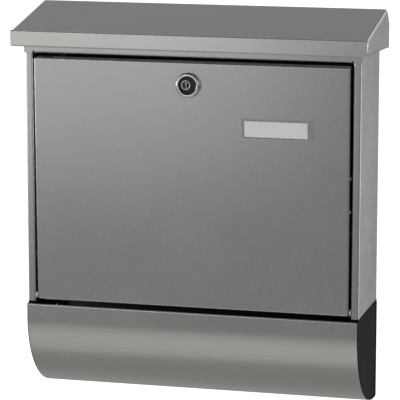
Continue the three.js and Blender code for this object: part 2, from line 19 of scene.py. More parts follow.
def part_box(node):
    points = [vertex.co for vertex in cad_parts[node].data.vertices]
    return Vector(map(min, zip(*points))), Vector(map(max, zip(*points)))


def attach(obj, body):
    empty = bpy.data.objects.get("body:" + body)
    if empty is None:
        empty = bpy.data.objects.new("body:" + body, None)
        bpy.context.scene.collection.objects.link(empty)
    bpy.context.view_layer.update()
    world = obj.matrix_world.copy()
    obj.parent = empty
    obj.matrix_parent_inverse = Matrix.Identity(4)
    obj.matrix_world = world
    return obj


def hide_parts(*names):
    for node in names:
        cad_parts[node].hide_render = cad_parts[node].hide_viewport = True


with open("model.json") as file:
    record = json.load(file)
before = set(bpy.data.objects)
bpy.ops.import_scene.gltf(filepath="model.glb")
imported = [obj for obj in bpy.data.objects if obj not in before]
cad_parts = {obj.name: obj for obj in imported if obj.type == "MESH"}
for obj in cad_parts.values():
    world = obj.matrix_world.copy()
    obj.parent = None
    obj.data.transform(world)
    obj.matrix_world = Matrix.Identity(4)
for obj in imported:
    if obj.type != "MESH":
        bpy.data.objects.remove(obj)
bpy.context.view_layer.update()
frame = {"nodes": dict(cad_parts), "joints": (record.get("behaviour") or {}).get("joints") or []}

log = logging.getLogger("mailbox")

MM = 0.001
SHARP_ANGLE = math.radians(38)
SMALL_TURN = math.radians(20)
ARC_STEP = math.radians(9)

Point = tuple[float, float]
Limit = float | Callable[[Point], float]


class Slot(Enum):
    """Material slots of the record."""

    STEEL = "brushed_steel"
    CHROME = "chrome"
    ZINC = "zinc"
    BLACK = "black_plastic"
    RUBBER = "rubber"
    PAPER = "paper"
    CLEAR = "clear_plastic"


class Grain(Enum):
    """Direction of the brush marks, as how far each axis is squeezed."""

    ACROSS = (0.012, 1.0, 1.0)
    UPRIGHT = (1.0, 1.0, 0.012)
    DEEP = (1.0, 0.012, 1.0)


class Body(Enum):
    """Bodies that the pieces ride on."""

    HOUSING = "housing"
    LID = "lid"
    DOOR = "door"
    LOCK = "lock"


class Axis(Enum):
    """Direction in which an outline is drawn out."""

    X = 0
    Y = 1
    Z = 2

    def point(self, flat: Point, along: float) -> Vector:
        """Place a point of the outline in space.

        Args:
            flat: The outline's two coordinates, in the order x, y, z.
            along: Distance along this axis.

        Returns:
            The point in space.
        """
        values = list(flat)
        values.insert(self.value, along)
        return Vector(values)


# Finishes


class Recipe:
    """A material in the making: its nodes are added one after the other."""

    def __init__(self, name: str) -> None:
        """Start an empty material.

        Args:
            name: Name of the material.
        """
        self.material = bpy.data.materials.new(name)
        self.material.use_nodes = True
        self.tree = self.material.node_tree
        self.tree.nodes.clear()
        self.shader = self.tree.nodes.new("ShaderNodeBsdfPrincipled")
        output = self.tree.nodes.new("ShaderNodeOutputMaterial")
        self.join(self.shader.outputs["BSDF"], output.inputs["Surface"])
        place = self.tree.nodes.new("ShaderNodeTexCoord")
        self.place = place.outputs["Object"]

    def join(self, start: bpy.types.NodeSocket, end: bpy.types.NodeSocket) -> None:
        """Link two sockets."""
        self.tree.links.new(start, end)

    def set(self, **values: float | tuple) -> None:
        """Set shader sockets to constants.

        Args:
            values: Socket names, with _ for a space, and their values.
        """
        for name, value in values.items():
            self.shader.inputs[name.replace("_", " ")].default_value = value

    def squeezed(self, scale: tuple[float, float, float]) -> bpy.types.NodeSocket:
        """Squeeze the coordinates.

        Args:
            scale: Factor along each axis.

        Returns:
            The new coordinates.
        """
        node = self.tree.nodes.new("ShaderNodeMapping")
        node.inputs["Scale"].default_value = scale
        self.join(self.place, node.inputs["Vector"])
        return node.outputs["Vector"]

    def noise(
        self, place: bpy.types.NodeSocket, scale: float, detail: float = 2.0
    ) -> bpy.types.NodeSocket:
        """Add noise.

        Args:
            place: Coordinates.
            scale: Waves in a metre.
            detail: Number of finer layers.

        Returns:
            The noise value, about 0.5.
        """
        node = self.tree.nodes.new("ShaderNodeTexNoise")
        node.inputs["Scale"].default_value = scale
        node.inputs["Detail"].default_value = detail
        self.join(place, node.inputs["Vector"])
        return node.outputs["Fac"]

    def spread(
        self,
        value: bpy.types.NodeSocket,
        low: float,
        high: float,
        span: tuple[float, float] = (0.3, 0.7),
    ) -> bpy.types.NodeSocket:
        """Map a value to a new range.

        Args:
            value: The value.
            low: Result at the start of span.
            high: Result at the end of span.
            span: Range of the value that is used.

        Returns:
            The mapped value.
        """
        node = self.tree.nodes.new("ShaderNodeMapRange")
        node.inputs["From Min"].default_value = span[0]
        node.inputs["From Max"].default_value = span[1]
        node.inputs["To Min"].default_value = low
        node.inputs["To Max"].default_value = high
        self.join(value, node.inputs["Value"])
        return node.outputs["Result"]

    def sum(
        self, first: bpy.types.NodeSocket, second: bpy.types.NodeSocket
    ) -> bpy.types.NodeSocket:
        """Add two values.

        Args:
            first: One value.
            second: The other value.

        Returns:
            The result.
        """
        node = self.tree.nodes.new("ShaderNodeMath")
        node.operation = "ADD"
        self.join(first, node.inputs[0])
        self.join(second, node.inputs[1])
        return node.outputs["Value"]

    def blend(
        self, factor: bpy.types.NodeSocket, first: tuple, second: tuple
    ) -> bpy.types.NodeSocket:
        """Mix two colours.

        Args:
            factor: 0 gives the first colour, 1 the second.
            first: One colour.
            second: The other colour.

        Returns:
            The mixed colour.
        """
        node = self.tree.nodes.new("ShaderNodeMix")
        node.data_type = "RGBA"
        for socket, value in (("A", first), ("B", second)):
            colours = [s for s in node.inputs if s.name == socket and s.type == "RGBA"]
            colours[0].default_value = (*value, 1.0)
        self.join(factor, node.inputs["Factor"])
        return next(s for s in node.outputs if s.type == "RGBA")

    def edges(self, radius: float) -> bpy.types.NodeSocket:
        """Find the edges, where handling polishes the surface; the clear plastic uses them for a
        painted edge highlight.

        Args:
            radius: Width of the worn band in millimetres.

        Returns:
            1 on an edge and 0 away from it.
        """
        rounded = self.tree.nodes.new("ShaderNodeBevel")
        rounded.samples = 4
        rounded.inputs["Radius"].default_value = radius * MM
        plain = self.tree.nodes.new("ShaderNodeNewGeometry")
        match = self.tree.nodes.new("ShaderNodeVectorMath")
        match.operation = "DOT_PRODUCT"
        self.join(rounded.outputs["Normal"], match.inputs[0])
        self.join(plain.outputs["Normal"], match.inputs[1])
        return self.spread(match.outputs["Value"], 1.0, 0.0, (0.75, 0.995))

    def bump(self, height: bpy.types.NodeSocket, depth: float, strength: float = 1.0) -> None:
        """Raise the surface by a height.

        Args:
            height: Height from 0 to 1.
            depth: Depth of the relief in millimetres.
            strength: How much of it shows.
        """
        node = self.tree.nodes.new("ShaderNodeBump")
        node.inputs["Strength"].default_value = strength
        node.inputs["Distance"].default_value = depth * MM
        self.join(height, node.inputs["Height"])
        self.join(node.outputs["Normal"], self.shader.inputs["Normal"])


@dataclass(frozen=True)
class BrushedSteel:
    """Stainless sheet with fine brush marks, faint smudges and polished edges."""

    name: str
    grain: Grain
    tint: tuple[float, float, float] = (1.0, 1.0, 1.0)
    grey: float = 0.57
    roughness: float = 0.27

    def make(self) -> bpy.types.Material:
        """Make the material.

        Returns:
            The material.
        """
        recipe = Recipe(self.name)
        marks = recipe.squeezed(self.grain.value)
        hair = recipe.noise(marks, 5200.0, 3.0)
        band = recipe.noise(marks, 1500.0, 2.0)
        speckle = recipe.noise(recipe.place, 620.0, 2.0)
        cloud = recipe.noise(recipe.place, 14.0, 3.0)
        light = tuple(self.grey * part for part in self.tint)
        dark = tuple(value * 0.94 for value in light)
        tone = recipe.sum(recipe.spread(hair, 0.0, 0.45), recipe.spread(band, 0.0, 0.3))
        tone = recipe.sum(tone, recipe.spread(speckle, 0.0, 0.12))
        worn = recipe.edges(0.5)
        tone = recipe.sum(tone, recipe.spread(worn, 0.0, 0.35, (0.0, 1.0)))
        colour = recipe.blend(tone, dark, light)
        recipe.join(colour, recipe.shader.inputs["Base Color"])
        rough = recipe.sum(
            recipe.spread(hair, self.roughness - 0.02, self.roughness + 0.02),
            recipe.spread(cloud, -0.012, 0.012),
        )
        rough = recipe.sum(rough, recipe.spread(worn, 0.0, -0.06, (0.0, 1.0)))
        recipe.join(rough, recipe.shader.inputs["Roughness"])
        recipe.bump(recipe.sum(hair, recipe.spread(speckle, 0.0, 0.2)), 0.001)
        recipe.set(Metallic=1.0)
        return recipe.material


@dataclass(frozen=True)
class Chrome:
    """Polished plating with light smears."""

    name: str
    colour: tuple[float, float, float] = (0.78, 0.79, 0.80)
    roughness: float = 0.1

    def make(self) -> bpy.types.Material:
        """Make the material.

        Returns:
            The material.
        """
        recipe = Recipe(self.name)
        smear = recipe.noise(recipe.squeezed((1.0, 1.0, 0.3)), 240.0, 4.0)
        dull = tuple(value * 0.86 for value in self.colour)
        colour = recipe.blend(recipe.spread(smear, 0.0, 1.0), dull, self.colour)
        recipe.join(colour, recipe.shader.inputs["Base Color"])
        rough = recipe.spread(smear, self.roughness - 0.03, self.roughness + 0.06)
        recipe.join(rough, recipe.shader.inputs["Roughness"])
        recipe.bump(smear, 0.01)
        recipe.set(Metallic=1.0)
        return recipe.material


@dataclass(frozen=True)
class Moulded:
    """Plastic, rubber or cast metal with a fine moulded or cast texture."""

    name: str
    colour: tuple[float, float, float]
    roughness: float
    gloss: float = 0.3
    metallic: float = 0.0
    texture: float = 0.03

    def make(self) -> bpy.types.Material:
        """Make the material.

        Returns:
            The material.
        """
        recipe = Recipe(self.name)
        pores = recipe.noise(recipe.place, 1500.0, 2.0)
        flow = recipe.noise(recipe.squeezed((1.0, 1.0, 0.4)), 60.0, 3.0)
        worn = recipe.edges(0.4)
        bright = tuple(min(1.0, value * 1.5 + 0.004) for value in self.colour)
        tone = recipe.sum(recipe.spread(flow, 0.0, 0.5), recipe.spread(worn, 0.0, 0.5, (0, 1)))
        recipe.join(
            recipe.blend(tone, self.colour, bright), recipe.shader.inputs["Base Color"]
        )
        rough = recipe.spread(flow, self.roughness - 0.05, self.roughness + 0.05)
        rough = recipe.sum(rough, recipe.spread(pores, -0.04, 0.04))
        recipe.join(rough, recipe.shader.inputs["Roughness"])
        recipe.bump(pores, self.texture)
        recipe.set(Metallic=self.metallic, Specular_IOR_Level=self.gloss)
        return recipe.material


@dataclass(frozen=True)
class Card:
    """Printed card with a faint fibre pattern; it also glows faintly, which is painted light."""

    name: str
    colour: tuple[float, float, float] = (0.88, 0.88, 0.88)
    painted_glow: float = 0.22

    def make(self) -> bpy.types.Material:
        """Make the material.

        Returns:
            The material.
        """
        recipe = Recipe(self.name)
        fibres = recipe.noise(recipe.squeezed((0.25, 1.0, 1.0)), 2200.0, 4.0)
        shade = tuple(value * 0.93 for value in self.colour)
        colour = recipe.blend(recipe.spread(fibres, 0.0, 1.0), shade, self.colour)
        recipe.join(colour, recipe.shader.inputs["Base Color"])
        # Emission makes the card glow: painted light, not a lamp.
        recipe.join(colour, recipe.shader.inputs["Emission Color"])
        recipe.set(Emission_Strength=self.painted_glow)
        recipe.join(recipe.spread(fibres, 0.62, 0.8), recipe.shader.inputs["Roughness"])
        recipe.bump(fibres, 0.02)
        return recipe.material


@dataclass(frozen=True)
class Clear:
    """Clear moulded plastic with hairline scratches; its edges are more opaque, which paints the
    highlight they catch.
    """

    name: str
    tint: tuple[float, float, float] = (0.78, 0.79, 0.80)
    cover: float = 0.13
    cover_at_edges_painted_highlight: float = 0.7

    def make(self) -> bpy.types.Material:
        """Make the material.

        Returns:
            The material.
        """
        recipe = Recipe(self.name)
        scratch = recipe.noise(recipe.squeezed((0.05, 1.0, 1.0)), 1800.0, 3.0)
        recipe.join(recipe.spread(scratch, 0.03, 0.1), recipe.shader.inputs["Roughness"])
        recipe.bump(scratch, 0.0006)
        # More cover at the edges paints their highlight.
        seen = recipe.spread(recipe.edges(0.5), self.cover, self.cover_at_edges_painted_highlight, (0.0, 0.6))
        recipe.join(seen, recipe.shader.inputs["Alpha"])
        recipe.set(Base_Color=(*self.tint, 1.0), IOR=1.49)
        return recipe.material


@dataclass
class Paintbox:
    """Every material of the mailbox, made once."""

    across: bpy.types.Material = field(init=False)
    upright: bpy.types.Material = field(init=False)
    roof: bpy.types.Material = field(init=False)
    lip: bpy.types.Material = field(init=False)
    inner: bpy.types.Material = field(init=False)
    shaded: bpy.types.Material = field(init=False)
    chrome: bpy.types.Material = field(init=False)
    zinc: bpy.types.Material = field(init=False)
    black: bpy.types.Material = field(init=False)
    face_black: bpy.types.Material = field(init=False)
    rubber: bpy.types.Material = field(init=False)
    card: bpy.types.Material = field(init=False)
    clear: bpy.types.Material = field(init=False)

    def __post_init__(self) -> None:
        """Make the materials."""
        warm, painted_sky_tint = (1.015, 1.0, 0.97), (1.0, 1.0, 1.02)
        self.across = BrushedSteel("steel_brushed_across", Grain.ACROSS, warm).make()
        self.upright = BrushedSteel("steel_brushed_upright", Grain.UPRIGHT).make()
        # The roof's cool tint paints the reflection of the bluish room on the lid's top.
        self.roof = BrushedSteel("steel_brushed_roof", Grain.ACROSS, painted_sky_tint).make()
        # The lip is the same sheet as the roof but takes a lighter grey (0.66): painted light.
        self.lip = BrushedSteel("steel_brushed_lip", Grain.ACROSS, warm, 0.66).make()
        # Steel inside the box is darkened to grey 0.22: painted shade, not a finish of its own.
        self.inner = BrushedSteel("steel_mill_finish", Grain.DEEP, warm, 0.22, 0.45).make()
        # The back panel and letter guard are darker still (grey 0.07): painted shade.
        self.shaded = BrushedSteel("steel_dull_inside", Grain.ACROSS, warm, 0.07, 0.6).make()
        self.chrome = Chrome("lock_chrome").make()
        self.zinc = Moulded("lock_zinc", (0.20, 0.20, 0.21), 0.42, 0.5, 1.0).make()
        self.black = Moulded("tray_black_plastic", (0.004, 0.004, 0.0048), 0.5, 0.02).make()
        self.face_black = Moulded("lock_face_black", (0.012, 0.012, 0.013), 0.35, 0.4).make()
        self.rubber = Moulded("bumper_rubber", (0.008, 0.008, 0.009), 0.8, 0.15).make()
        self.card = Card("name_card_paper").make()
        self.clear = Clear("name_clear_plastic").make()


# Making meshes


@dataclass(frozen=True)
class Bend:
    """A corner of a folded sheet's middle line, and the radius it is bent to."""

    a: float
    b: float
    radius: float = 1.5


@dataclass(frozen=True)
class Ribbon:
    """The cut edge of a folded sheet: its two sides, point for point."""

    outer: list[Point]
    inner: list[Point]


def sideways(angle: float, distance: float) -> Vector:
    """Give the step to the left of a heading.

    Args:
        angle: The heading.
        distance: Length of the step.

    Returns:
        The step.
    """
    return Vector((-math.sin(angle) * distance, math.cos(angle) * distance))


def stations(path: Sequence[Bend]) -> list[tuple[Vector, float]]:
    """Round the corners of a path.

    Args:
        path: The corners. Those that turn little stay as they are.

    Returns:
        Points along the path, each with its heading.
    """
    points = [Vector((corner.a, corner.b)) for corner in path]
    legs = [end - start for start, end in zip(points, points[1:])]
    headings = [math.atan2(leg.y, leg.x) for leg in legs]
    result = [(points[0], headings[0])]
    for i in range(1, len(points) - 1):
        before = headings[i - 1]
        turn = (headings[i] - before + math.pi) % math.tau - math.pi
        if abs(turn) < SMALL_TURN or path[i].radius == 0:
            result.append((points[i], before + turn / 2))
            continue
        inward = math.copysign(path[i].radius, turn)
        reach = path[i].radius * math.tan(abs(turn) / 2)
        start = points[i] - legs[i - 1].normalized() * reach
        centre = start + sideways(before, inward)
        steps = max(4, math.ceil(abs(turn) / ARC_STEP))
        for k in range(steps + 1):
            angle = before + turn * k / steps
            result.append((centre - sideways(angle, inward), angle))
    result.append((points[-1], headings[-1]))
    return result


def fold(path: Sequence[Bend], thickness: float = 1.0) -> Ribbon:
    """Give a folded sheet its thickness.

    Args:
        path: Corners of its middle line.
        thickness: Thickness of the sheet.

    Returns:
        Both sides of the sheet's cut edge.
    """
    line = stations(path)
    half = thickness / 2
    return Ribbon(
        [tuple(point + sideways(angle, half)) for point, angle in line],
        [tuple(point - sideways(angle, half)) for point, angle in line],
    )


def reach_of(limit: Limit, point: Point) -> float:
    """Give how far an outline is drawn out at one of its points."""
    return limit(point) if callable(limit) else limit


def folded_sheet(ribbon: Ribbon, axis: Axis, start: Limit, end: Limit) -> bmesh.types.BMesh:
    """Draw a folded sheet's cut edge out into a sheet.

    Args:
        ribbon: The cut edge.
        axis: Direction of the bend lines.
        start: Where the sheet starts, the same all over or worked out from a point.
        end: Where it ends.

    Returns:
        The closed mesh.
    """
    bm = bmesh.new()
    rows = [
        [[bm.verts.new(axis.point(p, reach_of(limit, p))) for p in side]
         for side in (ribbon.outer, ribbon.inner)]
        for limit in (start, end)
    ]
    count = len(ribbon.outer)
    for k in range(count - 1):
        for side in (0, 1):
            first, second = rows[0][side], rows[1][side]
            bm.faces.new((first[k], first[k + 1], second[k + 1], second[k]))
        for outer, inner in rows:
            bm.faces.new((outer[k], outer[k + 1], inner[k + 1], inner[k]))
    for k in (0, count - 1):
        bm.faces.new((rows[0][0][k], rows[1][0][k], rows[1][1][k], rows[0][1][k]))
    return bm


def plate(outline: Sequence[Point], axis: Axis, start: float, end: float) -> bmesh.types.BMesh:
    """Draw a plain outline out into a plate.

    Args:
        outline: Corners of the closed outline.
        axis: Direction of the thickness.
        start: One face.
        end: The other face.

    Returns:
        The closed mesh.
    """
    bm = bmesh.new()
    first = [bm.verts.new(axis.point(p, start)) for p in outline]
    second = [bm.verts.new(axis.point(p, end)) for p in outline]
    bm.faces.new(first)
    bm.faces.new(second)
    for k, _ in enumerate(outline):
        after = (k + 1) % len(outline)
        bm.faces.new((first[k], first[after], second[after], second[k]))
    bmesh.ops.recalc_face_normals(bm, faces=bm.faces)
    return bm


def round_bar(centre: Vector, radius: float, axis: Axis, start: float, end: float,
              sides: int = 48) -> bmesh.types.BMesh:
    """Make a plain round bar, for cutting holes.

    Args:
        centre: A point on its axis.
        radius: Its radius.
        axis: Direction of its axis.
        start: One end along that axis.
        end: The other end.
        sides: Number of faces round it.

    Returns:
        The closed mesh.
    """
    flat = [value for k, value in enumerate(centre) if k != axis.value]
    angles = [math.tau * k / sides for k in range(sides)]
    outline = [(flat[0] + radius * math.cos(t), flat[1] + radius * math.sin(t)) for t in angles]
    return plate(outline, axis, start, end)


def lofted(loops: Sequence[Sequence[Vector]], hollow: bool = False) -> bmesh.types.BMesh:
    """Skin a row of loops and close the two ends.

    Args:
        loops: Closed loops with the same number of points.
        hollow: Whether a loop is the cut edge of a sheet, with its points in pairs.

    Returns:
        The closed mesh.
    """
    bm = bmesh.new()
    rows = [[bm.verts.new(point) for point in loop] for loop in loops]
    for first, second in zip(rows, rows[1:]):
        for k, _ in enumerate(first):
            after = (k + 1) % len(first)
            bm.faces.new((first[k], first[after], second[after], second[k]))
    for row in (rows[0], rows[-1]):
        if hollow:
            for k in range(len(row) // 2 - 1):
                bm.faces.new((row[k], row[k + 1], row[-2 - k], row[-1 - k]))
        else:
            bm.faces.new(row)
    bmesh.ops.recalc_face_normals(bm, faces=bm.faces)
    return bm


def together(*parts: bmesh.types.BMesh) -> bmesh.types.BMesh:
    """Hold several closed meshes as one.

    Args:
        parts: The meshes, which are used up.

    Returns:
        One mesh with all of them.
    """
    whole = bmesh.new()
    for part in parts:
        mesh = bpy.data.meshes.new("part")
        part.to_mesh(mesh)
        part.free()
        whole.from_mesh(mesh)
        bpy.data.meshes.remove(mesh)
    return whole


def rounded_corners(corners: Sequence[Bend]) -> list[Point]:
    """Round the corners of a closed outline.

    Args:
        corners: Its corners in order.

    Returns:
        The outline's points.
    """
    first, last = corners[0], corners[-1]
    middle = Bend((first.a + last.a) / 2, (first.b + last.b) / 2)
    return [tuple(point) for point, _ in stations([middle, *corners, middle])[:-1]]


def turned(profile: Sequence[Bend], centre: Vector, axis: Axis, closed: bool = False,
           sides: int = 64) -> bmesh.types.BMesh:
    """Turn a profile about an axis.

    Args:
        profile: Corners as distance from the axis and place along it, each rounded.
        centre: The point that the profile's zero stands for.
        axis: Direction of the axis.
        closed: Whether the profile is a ring that closes on itself.
        sides: Number of faces round it.

    Returns:
        The closed mesh.
    """
    corners = list(profile)
    if closed:
        first, last = profile[0], profile[-1]
        middle = Bend((first.a + last.a) / 2, (first.b + last.b) / 2)
        corners = [middle, *profile, middle]
    line = [point for point, _ in stations(corners)]
    if closed:
        line.pop()
    bm = bmesh.new()
    rows = []
    for radius, along in line:
        ring = []
        for k in range(sides):
            angle = math.tau * k / sides
            flat = (radius * math.cos(angle), radius * math.sin(angle))
            ring.append(bm.verts.new(axis.point(flat, along) + centre))
        rows.append(ring)
    pairs = list(zip(rows, rows[1:]))
    if closed:
        pairs.append((rows[-1], rows[0]))
    for first, second in pairs:
        for k in range(sides):
            after = (k + 1) % sides
            bm.faces.new((first[k], first[after], second[after], second[k]))
    if not closed:
        bm.faces.new(rows[0])
        bm.faces.new(rows[-1])
    bmesh.ops.remove_doubles(bm, verts=bm.verts, dist=1e-4)
    bmesh.ops.recalc_face_normals(bm, faces=bm.faces)
    return bm


def scratch(bm: bmesh.types.BMesh) -> bpy.types.Object:
    """Put a mesh in the making into a short-lived object.

    Args:
        bm: The mesh, which is used up.

    Returns:
        The object.
    """
    bmesh.ops.recalc_face_normals(bm, faces=bm.faces)
    mesh = bpy.data.meshes.new("scratch")
    bm.to_mesh(mesh)
    bm.free()
    piece = bpy.data.objects.new("scratch", mesh)
    bpy.context.scene.collection.objects.link(piece)
    return piece


def evaluated(piece: bpy.types.Object) -> bpy.types.Mesh:
    """Give the mesh of an object with its modifiers applied."""
    graph = bpy.context.evaluated_depsgraph_get()
    return bpy.data.meshes.new_from_object(piece.evaluated_get(graph))


def discard(piece: bpy.types.Object) -> None:
    """Delete a short-lived object and its mesh.

    Args:
        piece: The object.
    """
    mesh = piece.data
    bpy.data.objects.remove(piece)
    bpy.data.meshes.remove(mesh)


def shaped(
    base: bmesh.types.BMesh,
    added: Sequence[bmesh.types.BMesh] = (),
    removed: Sequence[bmesh.types.BMesh] = (),
) -> bmesh.types.BMesh:
    """Join solids to a solid and cut others out of it.

    Args:
        base: The solid to start from.
        added: Solids to join.
        removed: Solids to cut out.

    Returns:
        The new solid.
    """
    piece = scratch(base)
    tools = [(scratch(tool), "UNION") for tool in added]
    tools += [(scratch(tool), "DIFFERENCE") for tool in removed]
    for tool, operation in tools:
        change = piece.modifiers.new("shape", "BOOLEAN")
        change.solver = "EXACT"
        change.operation = operation
        change.object = tool
    mesh = evaluated(piece)
    bm = bmesh.new()
    bm.from_mesh(mesh)
    bpy.data.meshes.remove(mesh)
    for scrap in [piece, *(tool for tool, _ in tools)]:
        discard(scrap)
    bmesh.ops.remove_doubles(bm, verts=bm.verts, dist=1e-3)
    bmesh.ops.dissolve_degenerate(bm, edges=bm.edges, dist=1e-3)
    return bm


def softened(bm: bmesh.types.BMesh, width: float, steps: int = 2,
             angle: float = math.radians(50)) -> bmesh.types.BMesh:
    """Take the sharpness off the edges.

    Args:
        bm: The mesh.
        width: Width of the rounding.
        steps: Number of faces across it.
        angle: Edges that turn more than this are rounded.

    Returns:
        The same mesh.
    """
    bmesh.ops.recalc_face_normals(bm, faces=bm.faces)
    edges = [e for e in bm.edges if len(e.link_faces) == 2 and e.calc_face_angle() > angle]
    bmesh.ops.bevel(
        bm, geom=edges, offset=width, segments=steps, profile=0.5, affect="EDGES",
        clamp_overlap=True,
    )
    return bm


@dataclass(frozen=True)
class Fitting:
    """Where a finished mesh belongs."""

    body: Body
    nodes: tuple[str, ...]
    slot: Slot
    matrix: Matrix = field(default_factory=lambda: Matrix.Identity(4))

    def place(
        self, bm: bmesh.types.BMesh, name: str, *materials: bpy.types.Material
    ) -> bpy.types.Object:
        """Turn a mesh in the making into a piece of the mailbox.

        Args:
            bm: The mesh, in millimetres.
            name: Name of the piece.
            materials: Its materials. Faces carry the number of theirs.

        Returns:
            The piece, which stands for its nodes and rides on its body.
        """
        bmesh.ops.recalc_face_normals(bm, faces=bm.faces)
        bm.transform(Matrix.Scale(MM, 4) @ self.matrix)
        mesh = bpy.data.meshes.new(name)
        bm.to_mesh(mesh)
        bm.free()
        for material in materials:
            mesh.materials.append(material)
        mesh.polygons.foreach_set("use_smooth", [True] * len(mesh.polygons))
        mesh.set_sharp_from_angle(angle=SHARP_ANGLE)
        piece = bpy.data.objects.new(name, mesh)
        bpy.context.scene.collection.objects.link(piece)
        normals = piece.modifiers.new("flat faces stay flat", "WEIGHTED_NORMAL")
        normals.keep_sharp = True
        normals.weight = 100
        piece.data = evaluated(piece)
        piece.data.name = name
        piece.modifiers.clear()
        bpy.data.meshes.remove(mesh)
        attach(piece, self.body.value)
        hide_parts(*self.nodes)
        return piece


def corners_of(node: str) -> tuple[Vector, Vector]:
    """Give a node's lowest and highest corners in millimetres."""
    low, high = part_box(node)
    return low / MM, high / MM


def joint_named(name: str) -> dict:
    """Find a joint of the record."""
    return next(joint for joint in frame["joints"] if joint["name"] == name)


@dataclass(frozen=True)
class Datum:
    """The two levels that side views are measured from."""

    front: float
    foot: float

    def at(self, back: float, up: float, radius: float = 1.5) -> Bend:
        """Give a corner from its distance behind the front and above the door's foot."""
        return Bend(self.front + back, self.foot + up, radius)

    def flat(self, back: float, up: float) -> Point:
        """Give such a point of an outline."""
        return (self.front + back, self.foot + up)


# The mailbox


@dataclass
class Housing:
    """The steel box: side panels, the rail above the door and the pins the door turns on."""

    datum: Datum
    paint: Paintbox
    half: float = 175.5
    floor: float = -2.4
    strip: float = 8.0
    lip_depth: float = 10.0
    rear_flange: float = 15.0
    rear: float = -1.55
    top: float = 281.5
    slope: float = 0.1851
    step_back: float = 76.0
    step_up: float = 272.0
    rail_foot: float = 258.6
    rail_top: float = 281.0
    rail_half: float = 166.2
    rail_reach: float = 177.0
    pin_back: float = 5.0
    pin_up: float = 3.6
    door_half: float = 165.2

    def side_panel(self, side: str, s: int) -> bpy.types.Object:
        """Fold a side panel: rear flange, wall, frame beside the door, lip.

        Args:
            side: Its name.
            s: Its sign along X.

        Returns:
            The panel.
        """
        at = self.datum
        wall = s * (self.half - 0.5)
        lip = s * (self.half - self.strip + 0.5)
        relief = at.front + 2.05
        path = [
            Bend(s * (self.half - self.rear_flange), self.rear),
            Bend(wall, self.rear),
            Bend(wall, at.front + self.step_back + 0.01),
            Bend(wall, at.front + self.step_back - 0.01),
            Bend(wall, at.front + 0.5),
            Bend(lip, at.front + 0.5),
            Bend(lip, relief - 0.01),
            Bend(lip, relief + 0.01),
            Bend(lip, at.front + self.lip_depth),
        ]

        def top(point: Point) -> float:
            """Give the height of the panel's upper edge.

            Args:
                point: Place along the fold, seen from above.

            Returns:
                The height.
            """
            back = point[1] - at.front
            if abs(point[0]) < self.half - self.strip + 1.1 and relief < point[1] < at.front + 20:
                return at.foot + self.rail_foot - 1.5
            if back > self.step_back:
                return at.foot + self.step_up
            return at.foot + self.top + back * self.slope

        panel = folded_sheet(fold(path), Axis.Z, at.foot + self.floor, top)
        centre = Vector((lip, at.front + self.pin_back, at.foot + self.pin_up))
        hole = round_bar(centre, 2.3, Axis.X, lip - 3, lip + 3)
        panel = softened(shaped(panel, removed=[hole]), 0.15)
        home = Fitting(Body.HOUSING, (f"side_panel_{side}",), Slot.STEEL)
        return home.place(panel, f"side_sheet_{side}", self.paint.upright)

    def rail(self) -> bpy.types.Object:
        """Fold the rail above the door, with an ear at each end over the frame.

        Returns:
            The rail.
        """
        at = self.datum
        channel = folded_sheet(fold([
            at.at(12.0, self.rail_top - 0.5),
            at.at(-0.55, self.rail_top - 0.5),
            at.at(-0.55, self.rail_foot + 0.5, 2.0),
            at.at(7.5, self.rail_foot + 0.5),
            at.at(7.5, self.rail_foot + 7.5),
        ]), Axis.X, -self.rail_half, self.rail_half)
        ears = []
        for s in (-1, 1):
            inner, outer = s * self.rail_half, s * self.rail_reach
            foot, top = at.foot + self.rail_foot, at.foot + self.rail_top
            ear = rounded_corners([
                Bend(inner, top, 0), Bend(inner, foot + 2.4, 0),
                Bend(inner + s * 1.6, foot + 2.2, 0.6), Bend(inner + s * 1.6, foot, 0.4),
                Bend(outer, foot, 2.5), Bend(outer, top, 0),
            ])
            ears.append(plate(ear, Axis.Y, at.front - 1.05, at.front - 0.05))
        ears = [softened(ear, 0.35, 3) for ear in ears]
        home = Fitting(Body.HOUSING, ("top_rail",), Slot.STEEL)
        whole = together(softened(channel, 0.15), *ears)
        return home.place(whole, "rail_sheet", self.paint.across)

    def door_pin(self, side: str, s: int) -> bpy.types.Object:
        """Turn the shouldered rivet that a lower corner of the door swings on.

        Args:
            side: Its name.
            s: Its sign along X.

        Returns:
            The pin.
        """
        lip = self.half - self.strip
        profile = [
            (0.0, self.door_half - 3.0, 0), (2.0, self.door_half - 3.0, 0.5),
            (2.0, self.door_half + 0.3, 0.1), (5.0, self.door_half + 0.3, 1.1),
            (5.0, lip - 0.05, 0.15), (2.0, lip - 0.05, 0), (2.0, lip + 1.05, 0),
            (3.2, lip + 1.05, 0.1), (3.2, lip + 2.6, 0.9), (0.0, lip + 2.6, 0),
        ]
        at = self.datum
        centre = Vector((0, at.front + self.pin_back, at.foot + self.pin_up))
        pin = turned([Bend(r, s * x, bend) for r, x, bend in profile], centre, Axis.X)
        home = Fitting(Body.HOUSING, (f"door_pivot_{side}",), Slot.STEEL)
        return home.place(pin, f"door_pin_{side}", self.paint.chrome)

    def build(self) -> list[bpy.types.Object]:
        """Build and dress the housing's visible pieces.

        Returns:
            The pieces.
        """
        sides = (("left", -1), ("right", 1))
        pieces = [self.side_panel(side, s) for side, s in sides]
        pieces += [self.door_pin(side, s) for side, s in sides]
        return [*pieces, self.rail()]


